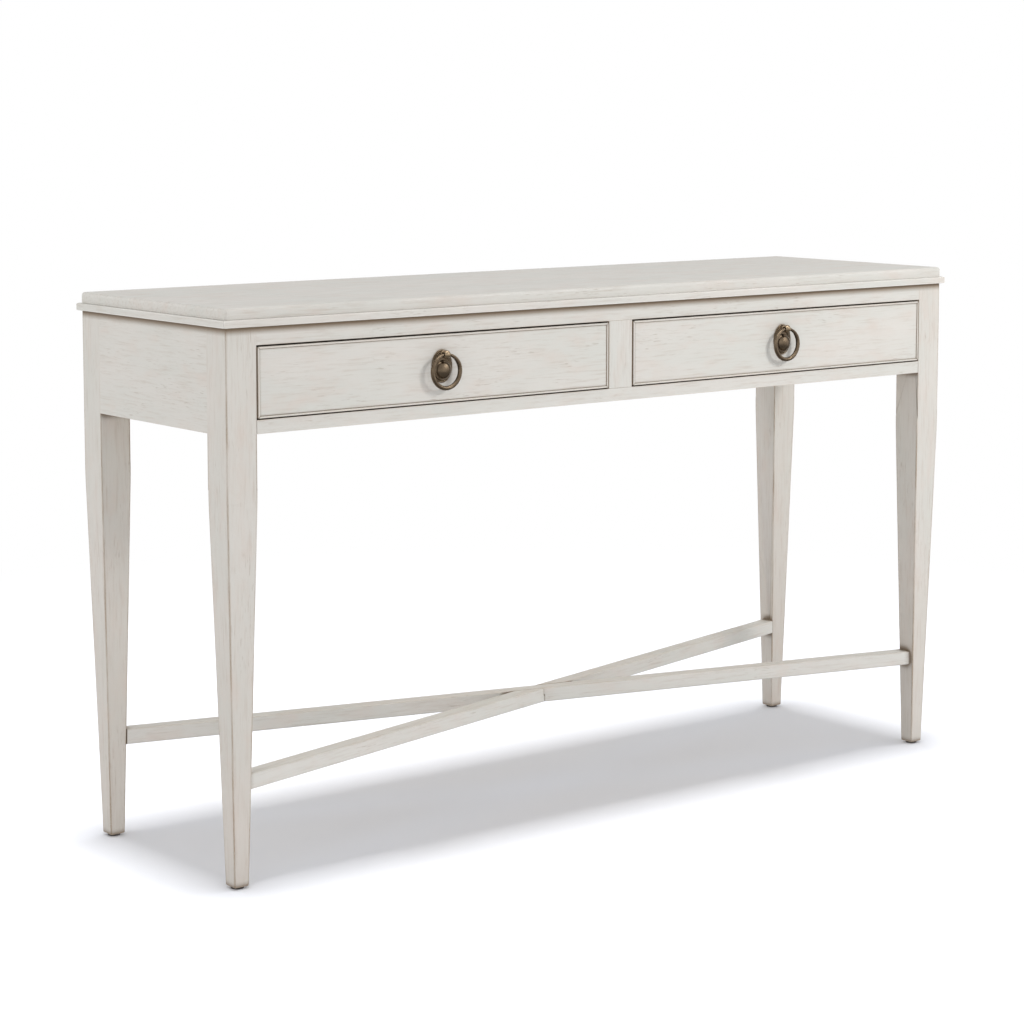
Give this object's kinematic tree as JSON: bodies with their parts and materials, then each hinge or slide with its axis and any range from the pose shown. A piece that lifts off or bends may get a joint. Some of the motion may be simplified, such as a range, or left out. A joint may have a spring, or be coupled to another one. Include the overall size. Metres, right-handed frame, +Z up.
{
  "type": "console table",
  "caption": "Long narrow console table on tapered legs, with inset drawers, hanging ring pulls, a stepped top edge and a crossed stretcher between the legs.",
  "frame": {"origin": "on the floor, under the centre of the bounding box at rest, drawers shut and rings hanging", "axes": "+X along the table to the right as seen from the front, -Y out of its front, +Z up"},
  "size_m": [1.372, 0.4018, 0.786],
  "materials": {
    "painted_wood": "off-white wash over wood grain, satin, with brown glaze rubbed into the edges",
    "bare_wood": "plain sanded wood, unpainted, inside the drawers and frame",
    "plywood": "plain plywood drawer bottom",
    "antique_brass": "dark antique brass, polished on the high places",
    "screw_steel": "zinc-plated steel",
    "glide_plastic": "dark brown nail-on glide"
  },
  "bodies": {
    "frame": {"top_panel": "painted_wood", "moulding_front": "painted_wood", "moulding_back": "painted_wood", "moulding_left": "painted_wood", "moulding_right": "painted_wood", "leg_front_left": "painted_wood", "leg_front_right": "painted_wood", "leg_back_left": "painted_wood", "leg_back_right": "painted_wood", "apron_left": "painted_wood", "apron_right": "painted_wood", "apron_back": "painted_wood", "rail_top": "painted_wood", "rail_bottom": "painted_wood", "stile": "painted_wood", "runner_left": "bare_wood", "runner_center": "bare_wood", "runner_right": "bare_wood", "kicker_left": "bare_wood", "kicker_center": "bare_wood", "kicker_right": "bare_wood", "stretcher_lower": "painted_wood", "stretcher_upper": "painted_wood", "stretcher_dowel": "bare_wood", "glide_front_left": "glide_plastic", "glide_front_right": "glide_plastic", "glide_back_left": "glide_plastic", "glide_back_right": "glide_plastic", "top_screw_front_left": "screw_steel", "top_screw_front_right": "screw_steel", "top_screw_back_left": "screw_steel", "top_screw_back_right": "screw_steel"},
    "drawer_left": {"drawer_left_front": "painted_wood", "drawer_left_bead_top": "painted_wood", "drawer_left_bead_bottom": "painted_wood", "drawer_left_bead_left": "painted_wood", "drawer_left_bead_right": "painted_wood", "drawer_left_side_left": "bare_wood", "drawer_left_side_right": "bare_wood", "drawer_left_back": "bare_wood", "drawer_left_bottom": "plywood", "pull_left_plate": "antique_brass", "pull_left_post": "antique_brass", "pull_left_nut": "screw_steel"},
    "ring_left": {"pull_left_ring": "antique_brass"},
    "drawer_right": {"drawer_right_front": "painted_wood", "drawer_right_bead_top": "painted_wood", "drawer_right_bead_bottom": "painted_wood", "drawer_right_bead_left": "painted_wood", "drawer_right_bead_right": "painted_wood", "drawer_right_side_left": "bare_wood", "drawer_right_side_right": "bare_wood", "drawer_right_back": "bare_wood", "drawer_right_bottom": "plywood", "pull_right_plate": "antique_brass", "pull_right_post": "antique_brass", "pull_right_nut": "screw_steel"},
    "ring_right": {"pull_right_ring": "antique_brass"}
  },
  "joints": [
    {"name": "drawer_left_slide", "type": "slide", "parent": "frame", "child": "drawer_left", "axis": [0, -1, 0], "range_m": [0, 0.25]},
    {"name": "drawer_right_slide", "type": "slide", "parent": "frame", "child": "drawer_right", "axis": [0, -1, 0], "range_m": [0, 0.25]},
    {"name": "ring_left_swing", "type": "hinge", "parent": "drawer_left", "child": "ring_left", "pos_m": [-0.32725, -0.19487, 0.7055], "axis": [-1, 0, 0], "range_deg": [-8, 170]},
    {"name": "ring_right_swing", "type": "hinge", "parent": "drawer_right", "child": "ring_right", "pos_m": [0.32725, -0.19487, 0.7055], "axis": [-1, 0, 0], "range_deg": [-8, 170]}
  ]
}
